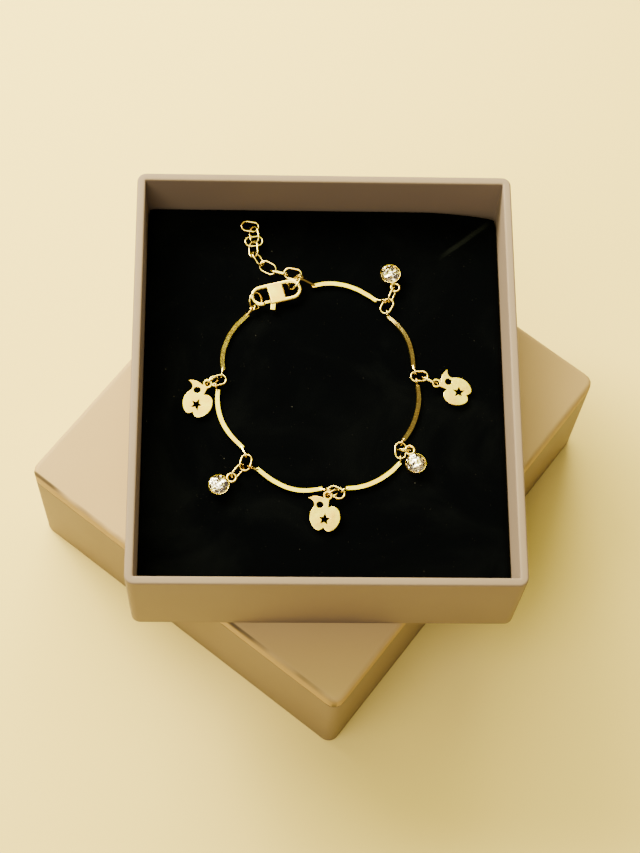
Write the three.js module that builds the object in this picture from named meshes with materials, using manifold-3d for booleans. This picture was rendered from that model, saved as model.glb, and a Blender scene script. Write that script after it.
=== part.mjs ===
// Charm bracelet on the velvet pad of its gift box, with the box's lid lying under the base.
// Millimetres, +Z up. The origin is on the surface that the lid lies on, at the lid's centre.

import * as THREE from "three";
import { mergeVertices } from "three/addons/utils/BufferGeometryUtils.js";
import Module from "manifold-3d";

const wasm = await Module();
wasm.setup();

// Lid of the box: it lies with its open side down and carries the base.
const lidLength = 117.5;
const lidWidth = 104.4;
const lidHeight = 44; // from the surface to the top of its padded top
const lidTurn = 52; // degrees about Z, seen from above
const lidTopPadHeight = 5;
const lidTopRoll = 2.6; // radius of the padded top's rolled edge
const lidCornerRadius = 3;

// Base of the box.
const baseWidth = 100;
const baseDepth = 114.7;
const baseHeight = 33;
const baseShiftX = 1.3; // from the lid's centre to the base's centre
const baseShiftY = 1.3;
const baseCornerRadius = 2.4;

// Covered board that both halves of the box are made of.
const boardThickness = 2.2;

// Velvet pad in the base.
const padDrop = 14.5; // from the base's rim down to the velvet
const padEdgeRoll = 1.6;

// Gap between two pieces that rest on each other.
const restGap = 0.3;

// Round wire of the jump rings and of the bars' eyes.
const linkWire = 0.56;
const eyeWire = 0.48;
const eyeInside = 0.96; // clear hole of a bar's eye

// Oval jump rings, measured outside.
const linkLength = 4.9;
const linkWidth = 3.2;
const extenderLength = 5.1;
const extenderWidth = 3.3;
const roundLinkSize = 4.8;
const shortLinkLength = 3.8;
const shortLinkWidth = 3.2;

// Curved bars of the loop.
const barWidth = 1.5;
const barThickness = 0.85;
const barLift = 0.3; // from the velvet to the bar's underside

// Heights over the velvet: the jump rings' centres, and the middle of the charms' eyes.
const linkHeight = 1.5;
const charmLinkHeight = 1.7;
const bunchedLinkHeight = 2;
const charmEyeHeight = 1.75;
const bunchedEyeHeight = 2.35;

// Apple charm: a flat plate, its stem along +Y and its star at the centre.
const appleWidth = 7.9;
const appleHeight = 6.9;
const appleThickness = 0.6;
const appleLift = 1.3; // height of the star's centre over the velvet
const stemWidth = 1.15;
const appleEyeDistance = 6.3; // from the star's centre to the eye's centre
const appleEyeSize = 2.5; // outside
const appleEyeHole = 1.4;
const starRadius = 1.45;
const starInnerShare = 0.44;
const leafHoleRadius = 0.85;

// Stone drop: a round cup with an eye, and the cut stone in it.
const cupDiameter = 5.4;
const cupHeight = 2.5;
const cupWall = 0.3;
const cupLift = 0.3;
const cupSolder = 0.2; // how far the eye's wire sinks into the cup's wall
const cupEyeSize = 2.9; // outside
const cupEyeWire = 0.62;
const stoneGap = 0.1; // between the stone's girdle and the cup
const stoneTableShare = 0.56; // of the stone's diameter
const stoneCrown = 0.75;
const stoneGirdle = 0.2;
const stonePavilion = 1.35;

// Flat lobster clasp: long side along +X towards its eye, its lever on the -Y side.
const claspLength = 14;
const claspWidth = 5.9;
const claspThickness = 1.3;
const claspRim = 1.0; // width of the metal round both openings
const claspPlateStart = -2.1; // the plate between the openings, along X
const claspPlateEnd = 2.2;
const claspHeight = 1.7; // height of its middle over the velvet
const claspHeading = 15; // degrees
const claspX = -12.7;
const claspY = 28.3;
const hookGap = 1.8; // the mouth that the lever closes

// Sprung lever of the clasp.
const leverThickness = 0.55;
const leverGap = 0.16; // clearance above, below and round the lever
const leverHub = 0.75; // radius
const leverPin = 0.3; // radius
const leverArmWidth = 0.8;
const leverTabWidth = 1.3;
const leverTabReach = 1.8; // how far the thumb tab stands out of the clasp
const leverTabLean = 22; // degrees, the tab slants towards the hook
const leverPivotX = -1.15;
const leverPivotInset = 0.9; // from the clasp's lower edge to the pivot

// Facets.
const ringSides = 12;
const wireSides = 6;
const eyeSides = 10;
const cornerSteps = 5;

const cupEyeDistance = cupDiameter / 2 + cupEyeSize / 2 - cupSolder;
const padTop = lidHeight + restGap + baseHeight - padDrop;

// Where each jump ring of the loop lies on the velvet: its centre from the pad's centre, the heading
// of its long axis and its lean about that axis in degrees, and how high its centre is.
const barLinks = [
  { name: "bar_link_1", x: -18.2, y: 25.8, heading: 60, lean: 50, z: 2.05, round: true },
  { name: "bar_link_2", x: -28.0, y: 2.8, heading: 15, lean: 0, z: linkHeight },
  { name: "bar_link_3", x: -20.4, y: -20.3, heading: 77, lean: 0, z: linkHeight },
  { name: "bar_link_4", x: 3.0, y: -28.3, heading: -25, lean: 0, z: linkHeight },
  { name: "bar_link_5", x: 19.8, y: -16.6, heading: 89, lean: 0, z: linkHeight },
  { name: "bar_link_6", x: 25.2, y: 4.5, heading: 4, lean: 0, z: linkHeight },
  { name: "bar_link_7", x: 17.0, y: 24.9, heading: 62, lean: 0, z: linkHeight },
  { name: "bar_link_8", x: -7.9, y: 31.3, heading: 66, lean: -54, z: 2.05, round: true },
];

// Each charm: the middle of its eye, the heading of the eye from the charm's own centre, and the
// heading and lean of the ring that joins the eye to the bar link. The slide is how far the ring's end
// is from the middle of the eye. A bunched charm has a short ring and its eye lies on the bar link.
const appleCharms = [
  { number: 2, x: -30.6, y: 1.4, heading: 63, linkHeading: 33, linkLean: 80, slide: -0.2, bunched: true },
  { number: 4, x: 0.8, y: -29.5, heading: 82, linkHeading: 28, linkLean: 80, slide: -0.2, bunched: true },
  { number: 6, x: 29.7, y: 2.4, heading: 158, linkHeading: 155, linkLean: 72, slide: -0.2, flipped: true },
];
const stoneCharms = [
  { number: 3, x: -24.0, y: -24.6, heading: 34, linkHeading: 50, linkLean: 66, slide: 0.2 },
  { number: 5, x: 22.2, y: -16.8, heading: 111, linkHeading: 175, linkLean: 78, slide: -0.2, bunched: true },
  { number: 7, x: 19.3, y: 30.3, heading: -71, linkHeading: 247, linkLean: -72, slide: 0.2 },
];

// Routes of the curved bars between the jump rings, as points of their middle lines.
const bars = [
  { name: "bar_1", from: "bar_link_1", to: "bar_link_2",
    route: [[-20.3, 22.3], [-24.0, 18.0], [-26.1, 13.6], [-26.9, 9.7], [-26.7, 6.0]] },
  { name: "bar_2", from: "bar_link_2", to: "bar_link_3",
    route: [[-27.9, 0.3], [-28.0, -2.8], [-27.0, -7.9], [-24.8, -12.0], [-21.2, -16.0]] },
  { name: "bar_3", from: "bar_link_3", to: "bar_link_4",
    route: [[-17.4, -21.7], [-15.4, -23.5], [-12.2, -25.7], [-8.4, -27.3], [-4.8, -27.7], [-0.6, -27.1]] },
  { name: "bar_4", from: "bar_link_4", to: "bar_link_5",
    route: [[5.6, -27.0], [9.2, -26.6], [13.4, -25.0], [17.3, -22.3], [19.7, -19.8]] },
  { name: "bar_5", from: "bar_link_5", to: "bar_link_6",
    route: [[20.6, -13.5], [22.5, -10.5], [24.1, -6.4], [24.9, -2.0], [24.7, 2.2]] },
  { name: "bar_6", from: "bar_link_6", to: "bar_link_7",
    route: [[23.7, 7.2], [23.3, 11.6], [22.0, 16.1], [19.8, 19.4], [17.2, 22.0]] },
  { name: "bar_7", from: "bar_link_7", to: "bar_link_8",
    route: [[14.2, 26.7], [11.6, 28.5], [8.1, 30.4], [4.1, 31.5], [0.5, 31.6], [-2.9, 30.9]] },
];

// The loose chain past the clasp, link by link.
const extenderLinks = [
  { x: -8.25, y: 34.0, heading: -12, lean: 12, z: 1.95 },
  { x: -11.8, y: 34.4, heading: -15, lean: -60, z: 1.9 },
  { x: -15.0, y: 36.0, heading: -30, lean: 20, z: 1.5 },
  { x: -17.6, y: 38.4, heading: -60, lean: -45, z: 1.9 },
  { x: -18.9, y: 41.4, heading: 95, lean: -40, z: 1.5 },
  { x: -18.8, y: 43.9, heading: 5, lean: 0, z: 1.5 },
  { x: -18.76, y: 45.92, heading: 101, lean: -40, z: 1.35 },
  { x: -19.9, y: 48.4, heading: -8, lean: 0, z: 1.5 },
];

const gold = new THREE.MeshStandardMaterial({ color: 0xe8c46a, roughness: 0.18, metalness: 1 });
const crystal = new THREE.MeshStandardMaterial({ color: 0xf2f4f6, roughness: 0.05, metalness: 0 });
const velvet = new THREE.MeshStandardMaterial({ color: 0x050505, roughness: 0.95, metalness: 0 });
const board = new THREE.MeshStandardMaterial({ color: 0xd6bd98, roughness: 0.6, metalness: 0 });

const radians = THREE.MathUtils.degToRad;
const up = new THREE.Vector3(0, 0, 1);

// A closed three.js geometry as a solid that can be joined and cut.
function solidOf(geometry) {
  const plain = new THREE.BufferGeometry();
  plain.setAttribute("position", geometry.getAttribute("position").clone());
  if (geometry.index) plain.setIndex(geometry.index.clone());
  const merged = mergeVertices(plain, 1e-4);
  const vertProperties = new Float32Array(merged.getAttribute("position").array);
  const triVerts = new Uint32Array(merged.index.array);
  return new wasm.Manifold(new wasm.Mesh({ numProp: 3, vertProperties, triVerts }));
}

// A joined or cut solid back as a three.js geometry.
function geometryOf(solid) {
  const mesh = solid.getMesh();
  const geometry = new THREE.BufferGeometry();
  geometry.setAttribute("position", new THREE.BufferAttribute(mesh.vertProperties, 3));
  geometry.setIndex(new THREE.BufferAttribute(mesh.triVerts, 1));
  geometry.computeVertexNormals();
  return geometry;
}

// All the given geometries joined into one solid.
function joined(...geometries) {
  return geometries.map(solidOf).reduce((whole, piece) => whole.add(piece));
}

function piece(name, geometry, material) {
  const mesh = new THREE.Mesh(geometry, material);
  mesh.name = name;
  return mesh;
}

// A rectangle with rounded corners, centred on the origin.
function roundedRectangle(width, depth, radius) {
  const x = width / 2 - radius;
  const y = depth / 2 - radius;
  const shape = new THREE.Shape();
  shape.absarc(x, y, radius, 0, Math.PI / 2);
  shape.absarc(-x, y, radius, Math.PI / 2, Math.PI);
  shape.absarc(-x, -y, radius, Math.PI, 1.5 * Math.PI);
  shape.absarc(x, -y, radius, 1.5 * Math.PI, 2 * Math.PI);
  shape.closePath();
  return shape;
}

// A flat shape raised from one height to another.
function slab(shape, from, to, curveSegments = cornerSteps) {
  const geometry = new THREE.ExtrudeGeometry(shape, {
    depth: to - from,
    bevelEnabled: false,
    curveSegments,
  });
  geometry.translate(0, 0, from);
  return geometry;
}

// A slab whose upper edge rolls over in a quarter round.
function rolledSlab(width, depth, radius, height, roll) {
  const edge = Math.min(roll, height * 0.8);
  const shape = roundedRectangle(width - 2 * edge, depth - 2 * edge, Math.max(radius - edge, 0.3));
  const whole = new THREE.ExtrudeGeometry(shape, {
    depth: 2 * (height - edge),
    bevelThickness: edge,
    bevelSize: edge,
    bevelSegments: 3,
    curveSegments: 3,
  });
  whole.translate(0, 0, edge - height);
  const lowerHalf = new THREE.BoxGeometry(2 * width, 2 * depth, 2 * height);
  lowerHalf.translate(0, 0, -height);
  return geometryOf(solidOf(whole).subtract(solidOf(lowerHalf)));
}

// Half of the box: a rectangular tray of board, open on top.
function tray(width, depth, height, radius) {
  const inner = Math.max(radius - boardThickness, 0.5);
  const outside = slab(roundedRectangle(width, depth, radius), 0, height);
  const inset = 2 * boardThickness;
  const hollow = roundedRectangle(width - inset, depth - inset, inner);
  return geometryOf(solidOf(outside).subtract(solidOf(slab(hollow, boardThickness, height + 1))));
}

// The centreline of an oval ring: two half circles joined by straight sides.
function ovalOutline(length, width, wire) {
  const radius = (width - wire) / 2;
  const half = (length - width) / 2;
  const shape = new THREE.Shape();
  shape.absarc(half, 0, radius, -Math.PI / 2, Math.PI / 2);
  shape.absarc(-half, 0, radius, Math.PI / 2, 1.5 * Math.PI);
  shape.closePath();
  return shape;
}

// A ring of round wire, stretched into an oval along X.
function ovalRing(length, width, wire) {
  const radius = (width - wire) / 2;
  const half = (length - width) / 2;
  const geometry = new THREE.TorusGeometry(radius, wire / 2, wireSides, ringSides);
  const position = geometry.getAttribute("position");
  for (let i = 0; i < position.count; i += 1) {
    const x = position.getX(i);
    const side = Math.abs(x) < 1e-4 ? 0 : Math.sign(x);
    position.setX(i, x + side * half);
  }
  return geometry;
}

// Outer length and width of a jump ring.
function linkSize(link) {
  if (link.round) return [roundLinkSize, roundLinkSize];
  return link.bunched ? [shortLinkLength, shortLinkWidth] : [linkLength, linkWidth];
}

function placeLink(mesh, link) {
  mesh.position.set(link.x, link.y, link.z);
  mesh.rotation.set(radians(link.lean), 0, radians(link.heading), "ZXY");
  mesh.updateMatrix();
  return mesh;
}

// A straight round wire between two points.
function wireBetween(from, to, wire) {
  const along = to.clone().sub(from);
  const geometry = new THREE.CylinderGeometry(wire / 2, wire / 2, along.length(), wireSides);
  const turn = new THREE.Quaternion().setFromUnitVectors(
    new THREE.Vector3(0, 1, 0), along.clone().normalize());
  geometry.applyQuaternion(turn);
  const middle = from.clone().lerp(to, 0.5);
  return geometry.translate(middle.x, middle.y, middle.z);
}

// The eye at a bar's end: it goes round the jump ring's wire where that is nearest to the bar.
function barEye(barEnd, inwards, link) {
  const outline = ovalOutline(...linkSize(link), linkWire).getSpacedPoints(96);
  const matrix = placeLink(new THREE.Object3D(), link).matrix;
  const path = outline.map((point) => new THREE.Vector3(point.x, point.y, 0).applyMatrix4(matrix));
  let nearest = 0;
  path.forEach((point, i) => {
    if (point.distanceTo(barEnd) < path[nearest].distanceTo(barEnd)) nearest = i;
  });
  const centre = path[nearest];
  const next = path[(nearest + 1) % (path.length - 1)];
  const along = next.clone().sub(centre).normalize();
  const outwards = barEnd.clone().sub(centre);
  outwards.addScaledVector(along, -outwards.dot(along)).normalize();
  const across = along.clone().cross(outwards);
  const radius = (eyeInside + eyeWire) / 2;
  const eye = new THREE.TorusGeometry(radius, eyeWire / 2, wireSides, eyeSides);
  eye.applyMatrix4(new THREE.Matrix4().makeBasis(outwards, across, along).setPosition(centre));
  const neckStart = centre.clone().addScaledVector(outwards, radius);
  const neckEnd = barEnd.clone().addScaledVector(inwards, 2 * eyeWire);
  return [eye, wireBetween(neckStart, neckEnd, eyeWire)];
}

// A curved bar with an eye at both ends, soldered into one.
function barGeometry(bar) {
  const height = barLift + barThickness / 2;
  const curve = new THREE.CatmullRomCurve3(
    bar.route.map(([x, y]) => new THREE.Vector3(x, y, height)), false, "centripetal");
  const half = barWidth / 2;
  const low = -barThickness / 2;
  const profile = [
    [low, -half * 0.8], [low * -0.2, -half], [-low, -half * 0.5],
    [-low, half * 0.5], [low * -0.2, half], [low, half * 0.8],
  ];
  const section = new THREE.Shape(profile.map(([z, side]) => new THREE.Vector2(-z, side)));
  const strip = new THREE.ExtrudeGeometry(section, {
    steps: 2 * (bar.route.length - 1),
    extrudePath: curve,
    curveSegments: 1,
  });
  const linkOf = (name) => barLinks.find((link) => link.name === name);
  const start = barEye(curve.getPointAt(0), curve.getTangentAt(0), linkOf(bar.from));
  const end = barEye(curve.getPointAt(1), curve.getTangentAt(1).negate(), linkOf(bar.to));
  return geometryOf(joined(strip, ...start, ...end));
}

// Right half of the apple's outline from its stem down to the notch under it, as shares of half its
// width and of its height above and below the star.
const appleOutline = [
  { out: 0.14, rise: 0.46 },
  { out: 0.38, rise: 0.52 },
  { out: 0.72, rise: 0.46 },
  { out: 0.96, rise: 0.25 },
  { out: 1.0, rise: 0.02 },
  { out: 0.87, rise: -0.2 },
  { out: 0.62, rise: -0.37 },
  { out: 0.35, rise: -0.44 },
  { out: 0.13, rise: -0.4 },
  { out: 0, rise: -0.32 },
];

function applePlate() {
  const right = appleOutline.map(({ out, rise }) =>
    new THREE.Vector2((out * appleWidth) / 2, rise * appleHeight));
  const left = right.slice(0, -1).reverse().map((point) => new THREE.Vector2(-point.x, point.y));
  const shape = new THREE.Shape();
  shape.moveTo(right[0].x, right[0].y);
  shape.splineThru(right.slice(1));
  shape.splineThru(left);
  shape.closePath();
  return shape;
}

// The leaf stands out to the left of the stem and comes back to the body round a small hole.
function appleLeaf() {
  const base = 0.4 * appleHeight;
  const hip = (-0.42 * appleWidth);
  const shape = new THREE.Shape();
  shape.moveTo(0, base);
  shape.lineTo(0, base + 0.36 * appleHeight);
  shape.splineThru([
    new THREE.Vector2(-0.2 * appleWidth, base + 0.42 * appleHeight),
    new THREE.Vector2(-0.4 * appleWidth, base + 0.43 * appleHeight),
    new THREE.Vector2(-0.63 * appleWidth, base + 0.33 * appleHeight),
  ]);
  shape.splineThru([
    new THREE.Vector2(-0.5 * appleWidth, base + 0.27 * appleHeight),
    new THREE.Vector2(-0.41 * appleWidth, base + 0.18 * appleHeight),
    new THREE.Vector2(hip, base - 0.02 * appleHeight),
  ]);
  shape.closePath();
  return shape;
}

function circle(x, y, radius) {
  const shape = new THREE.Shape();
  shape.absarc(x, y, radius, 0, 2 * Math.PI);
  return shape;
}

function star(radius) {
  const points = [];
  for (let i = 0; i < 10; i += 1) {
    const reach = i % 2 === 0 ? radius : radius * starInnerShare;
    const angle = Math.PI / 2 + (i * Math.PI) / 5;
    points.push(new THREE.Vector2(reach * Math.cos(angle), reach * Math.sin(angle)));
  }
  return new THREE.Shape(points);
}

function appleGeometry() {
  const half = appleThickness / 2;
  const plate = (shape, segments) => slab(shape, -half, half, segments);
  const hole = (shape, segments) => solidOf(slab(shape, -appleThickness, appleThickness, segments));
  const stem = new THREE.BoxGeometry(stemWidth, appleEyeDistance - appleHeight * 0.35, appleThickness);
  stem.translate(0, (appleEyeDistance - appleEyeHole / 2 - 0.2 + appleHeight * 0.35) / 2 - 0.1, 0);
  const solid = joined(
    plate(applePlate(), 3),
    plate(appleLeaf(), 4),
    stem,
    plate(circle(0, appleEyeDistance, appleEyeSize / 2), 14),
  );
  const leafHole = circle(-0.21 * appleWidth, 0.52 * appleHeight, leafHoleRadius);
  return geometryOf(solid
    .subtract(hole(star(starRadius), 1))
    .subtract(hole(leafHole, 10))
    .subtract(hole(circle(0, appleEyeDistance, appleEyeHole / 2), 10)));
}

// The round cup of a stone drop, open on top, with its eye on the +Y side.
function cupGeometry(eyeRise) {
  const radius = cupDiameter / 2;
  const floor = 0.3;
  const outline = [
    [0, 0], [radius * 0.8, 0], [radius, cupHeight * 0.3], [radius, cupHeight],
    [radius - cupWall, cupHeight], [radius - cupWall, cupHeight * 0.4], [radius * 0.7, floor], [0, floor],
  ];
  const cup = new THREE.LatheGeometry(outline.map(([x, y]) => new THREE.Vector2(x, y)), 16);
  cup.rotateX(Math.PI / 2);
  const ring = (cupEyeSize - cupEyeWire) / 2;
  const eye = new THREE.TorusGeometry(ring, cupEyeWire / 2, wireSides, ringSides);
  eye.translate(0, cupEyeDistance, eyeRise);
  return geometryOf(joined(cup, eye));
}

// A round brilliant: eight-sided table, crown and pavilion facets, sitting in the cup.
function stoneGeometry() {
  const radius = cupDiameter / 2 - cupWall - stoneGap;
  const profile = [
    [0, -stoneGirdle / 2 - stonePavilion], [radius, -stoneGirdle / 2], [radius, stoneGirdle / 2],
    [radius * stoneTableShare, stoneGirdle / 2 + stoneCrown], [0, stoneGirdle / 2 + stoneCrown],
  ];
  const stone = new THREE.LatheGeometry(profile.map(([x, y]) => new THREE.Vector2(x, y)), 16);
  stone.rotateX(Math.PI / 2);
  return stone;
}

// A stadium with its ends rounded, along X between two ends.
function stadium(from, to, width) {
  const radius = width / 2;
  const shape = new THREE.Shape();
  shape.absarc(to - radius, 0, radius, -Math.PI / 2, Math.PI / 2);
  shape.absarc(from + radius, 0, radius, Math.PI / 2, 1.5 * Math.PI);
  shape.closePath();
  return shape;
}

function rectangle(left, right, bottom, top) {
  return new THREE.Shape([[left, bottom], [right, bottom], [right, top], [left, top]]
    .map(([x, y]) => new THREE.Vector2(x, y)));
}

const claspBottom = -claspWidth / 2;
const leverPivotY = claspBottom + leverPivotInset;

// The clasp's body: a flat oval with two openings, a mouth in the hook and a pocket for the lever.
function claspGeometry() {
  const half = claspThickness / 2;
  const deep = claspThickness;
  const inner = claspWidth - 2 * claspRim;
  const end = claspLength / 2 - claspRim;
  const cut = (shape, reach, segments) => solidOf(slab(shape, -reach, reach, segments));
  const plateEdge = cut(rectangle(claspPlateStart, claspPlateEnd, claspBottom, -claspBottom), 2 * deep, 1);
  const openings = cut(stadium(-end, end, inner), deep, 8).subtract(plateEdge);
  const mouth = cut(rectangle(claspPlateStart - hookGap, claspPlateStart, claspBottom - 1, 0), deep, 1);
  const pocketHalf = leverThickness / 2 + leverGap;
  const pocketEnd = leverPivotX + leverHub + 2 * leverGap;
  const pocketTop = leverPivotY + leverHub + 2 * leverGap;
  const pocket = cut(
    rectangle(claspPlateStart - 0.5, pocketEnd, claspBottom - 1, pocketTop), pocketHalf, 1);
  const pin = new THREE.CylinderGeometry(leverPin, leverPin, claspThickness - 0.1, 10);
  pin.rotateX(Math.PI / 2).translate(leverPivotX, leverPivotY, 0);
  return geometryOf(cut(stadium(-claspLength / 2, claspLength / 2, claspWidth), half, 10)
    .subtract(openings)
    .subtract(mouth)
    .subtract(pocket)
    .add(solidOf(pin)));
}

// The lever turns on the pin: its arm closes the mouth and its tab stands out below.
function leverGeometry() {
  const half = leverThickness / 2;
  const armEnd = claspPlateStart - hookGap + leverGap - leverPivotX;
  const tabEnd = -leverPivotInset - leverTabReach;
  const arm = slab(rectangle(armEnd, 0, -leverArmWidth / 2, leverArmWidth / 2), -half, half, 1);
  const tabShape = rectangle(-leverTabWidth / 2, leverTabWidth / 2, tabEnd, 0);
  const tab = slab(tabShape, -half, half, 1).rotateZ(radians(-leverTabLean));
  const hub = slab(circle(0, 0, leverHub), -half, half, 12);
  const bore = slab(circle(0, 0, leverPin + leverGap), -leverThickness, leverThickness, 10);
  return geometryOf(joined(arm, tab, hub).subtract(solidOf(bore)));
}

function buildLid() {
  const lid = new THREE.Group();
  lid.rotation.z = radians(lidTurn);
  const shellHeight = lidHeight - lidTopPadHeight - restGap;
  const shell = piece("lid_shell", tray(lidLength, lidWidth, shellHeight, lidCornerRadius), board);
  shell.rotation.x = Math.PI;
  shell.position.z = shellHeight;
  const cover = rolledSlab(lidLength, lidWidth, lidCornerRadius, lidTopPadHeight, lidTopRoll);
  const topPad = piece("lid_top_pad", cover, board);
  topPad.position.z = lidHeight - lidTopPadHeight;
  lid.add(shell, topPad);
  return lid;
}

function buildBase() {
  const base = new THREE.Group();
  base.position.z = lidHeight + restGap;
  base.add(piece("box_base", tray(baseWidth, baseDepth, baseHeight, baseCornerRadius), board));
  const inset = 2 * (boardThickness + restGap);
  const padHeight = baseHeight - padDrop - boardThickness - restGap;
  const radius = Math.max(baseCornerRadius - boardThickness, 0.5);
  const cushion = rolledSlab(baseWidth - inset, baseDepth - inset, radius, padHeight, padEdgeRoll);
  const pad = piece("velvet_pad", cushion, velvet);
  pad.position.z = boardThickness + restGap;
  base.add(pad);
  return base;
}

function buildLinks() {
  const links = new THREE.Group();
  for (const link of barLinks) {
    links.add(placeLink(piece(link.name, ovalRing(...linkSize(link), linkWire), gold), link));
  }
  extenderLinks.forEach((link, i) => {
    const ring = piece(`extender_link_${i + 1}`, ovalRing(extenderLength, extenderWidth, linkWire), gold);
    links.add(placeLink(ring, link));
  });
  return links;
}

function eyeHeight(charm) {
  return charm.bunched ? bunchedEyeHeight : charmEyeHeight;
}

// The ring that hangs a charm: its far end passes through the charm's eye.
function charmLink(charm) {
  const size = linkSize(charm);
  const reach = (size[0] - linkWire) / 2 + charm.slide;
  const heading = radians(charm.linkHeading);
  return placeLink(piece(`charm_link_${charm.number}`, ovalRing(...size, linkWire), gold), {
    x: charm.x + reach * Math.cos(heading),
    y: charm.y + reach * Math.sin(heading),
    z: charm.bunched ? bunchedLinkHeight : charmLinkHeight,
    heading: charm.linkHeading,
    lean: charm.linkLean,
  });
}

function buildCharms() {
  const charms = new THREE.Group();
  for (const charm of appleCharms) {
    const heading = radians(charm.heading);
    const appleTilt = Math.asin((eyeHeight(charm) - appleLift) / appleEyeDistance);
    const appleRun = appleEyeDistance * Math.cos(appleTilt);
    const apple = piece(`apple_charm_${charm.number}`, appleGeometry(), gold);
    apple.position.set(
      charm.x - appleRun * Math.cos(heading), charm.y - appleRun * Math.sin(heading), appleLift);
    apple.rotation.set(appleTilt, charm.flipped ? Math.PI : 0, heading - Math.PI / 2, "ZXY");
    charms.add(apple, charmLink(charm));
  }
  for (const charm of stoneCharms) {
    const heading = radians(charm.heading);
    const drop = new THREE.Group();
    drop.position.set(
      charm.x - cupEyeDistance * Math.cos(heading),
      charm.y - cupEyeDistance * Math.sin(heading),
      cupLift);
    drop.rotation.z = heading - Math.PI / 2;
    const stone = piece(`stone_${charm.number}`, stoneGeometry(), crystal);
    stone.position.z = cupHeight - stoneGirdle;
    drop.add(piece(`stone_setting_${charm.number}`, cupGeometry(eyeHeight(charm) - cupLift), gold), stone);
    charms.add(drop, charmLink(charm));
  }
  return charms;
}

function buildClasp() {
  const clasp = new THREE.Group();
  clasp.position.set(claspX, claspY, claspHeight);
  clasp.rotation.z = radians(claspHeading);
  const lever = piece("clasp_lever", leverGeometry(), gold);
  lever.position.set(leverPivotX, leverPivotY, 0);
  clasp.add(piece("clasp_body", claspGeometry(), gold), lever);
  return clasp;
}

function buildBracelet() {
  const bracelet = new THREE.Group();
  bracelet.position.z = padTop;
  for (const bar of bars) bracelet.add(piece(bar.name, barGeometry(bar), gold));
  bracelet.add(buildLinks(), buildCharms(), buildClasp());
  return bracelet;
}

const group = new THREE.Group();
const upperBox = new THREE.Group();
upperBox.position.set(baseShiftX, baseShiftY, 0);
upperBox.add(buildBase(), buildBracelet());
group.add(buildLid(), upperBox);

export default group;
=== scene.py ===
"""Looks of a charm bracelet on the velvet pad of its gift box, which stands on its own padded lid."""

from __future__ import annotations

import logging
import math
from dataclasses import dataclass, field
from enum import Enum
from typing import Iterable, Sequence

import bmesh
import bpy
from bmesh.types import BMEdge, BMFace, BMVert, BMesh
from bpy.types import ID, Curve, Material, Mesh, Node, NodeSocket, Object, Spline
from mathutils import Matrix, Vector, noise

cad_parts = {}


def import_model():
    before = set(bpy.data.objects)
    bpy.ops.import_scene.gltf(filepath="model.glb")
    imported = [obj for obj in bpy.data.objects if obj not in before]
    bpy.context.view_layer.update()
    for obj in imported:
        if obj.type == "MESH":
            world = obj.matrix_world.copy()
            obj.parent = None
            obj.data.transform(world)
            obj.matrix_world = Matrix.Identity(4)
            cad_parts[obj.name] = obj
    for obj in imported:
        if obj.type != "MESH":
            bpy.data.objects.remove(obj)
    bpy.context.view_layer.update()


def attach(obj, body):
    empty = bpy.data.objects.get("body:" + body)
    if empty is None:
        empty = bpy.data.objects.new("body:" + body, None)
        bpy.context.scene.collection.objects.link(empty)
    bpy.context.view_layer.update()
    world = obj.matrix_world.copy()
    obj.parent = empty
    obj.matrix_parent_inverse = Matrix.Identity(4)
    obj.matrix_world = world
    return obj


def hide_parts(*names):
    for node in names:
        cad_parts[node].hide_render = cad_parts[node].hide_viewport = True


LOG = logging.getLogger("bracelet")
MM = 0.001
MERGE = 1e-4  # vertices nearer than this, in millimetres, are one
FULL_TURN = 2 * math.pi
BOX_BODY = "bracelet_in_box"
LEVER_BODY = "lever"
Colour = tuple[float, float, float]
Point = tuple[float, float]
Made = list[tuple[Object, str]]


class Turn(Enum):
    """The two ways a flat charm can lie."""

    FACE_UP = 0.0
    FACE_DOWN = math.pi


class Handle(Enum):
    """How a line passes one of its points."""

    SHARP = "VECTOR"
    SMOOTH = "AUTO"


# Shading.


class Field:
    """A number that varies over a surface, with arithmetic that adds Math nodes."""

    def __init__(self, shader: Shader, socket: NodeSocket) -> None:
        """Keeps the material's node builder and the socket that gives the number."""
        self.shader = shader
        self.socket = socket

    def _math(self, operation: str, *terms: Field | float) -> Field:
        """Adds a Math node with its terms in order."""
        return self.shader.number("ShaderNodeMath", {"operation": operation}, dict(enumerate(terms)))

    def __add__(self, other: Field | float) -> Field:
        """Adds."""
        return self._math("ADD", self, other)

    __radd__ = __add__

    def __sub__(self, other: Field | float) -> Field:
        """Subtracts."""
        return self._math("SUBTRACT", self, other)

    def __rsub__(self, other: float) -> Field:
        """Subtracts this from a number."""
        return self._math("SUBTRACT", other, self)

    def __mul__(self, other: Field | float) -> Field:
        """Multiplies."""
        return self._math("MULTIPLY", self, other)

    __rmul__ = __mul__

    def at_least(self, other: Field | float) -> Field:
        """The larger of two values."""
        return self._math("MAXIMUM", self, other)

    def span(self, low: float, high: float, out_low: float = 0.0, out_high: float = 1.0) -> Field:
        """Maps low to high smoothly onto out_low to out_high and holds the ends."""
        terms = dict(enumerate((self, low, high, out_low, out_high)))
        return self.shader.number("ShaderNodeMapRange", {"interpolation_type": "SMOOTHSTEP"}, terms)

    def line(self, width: float) -> Field:
        """A soft line, 1 where this distance is 0 and nothing from the width on."""
        return (self * self).span(0.0, width ** 2, 1.0, 0.0)


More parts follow.
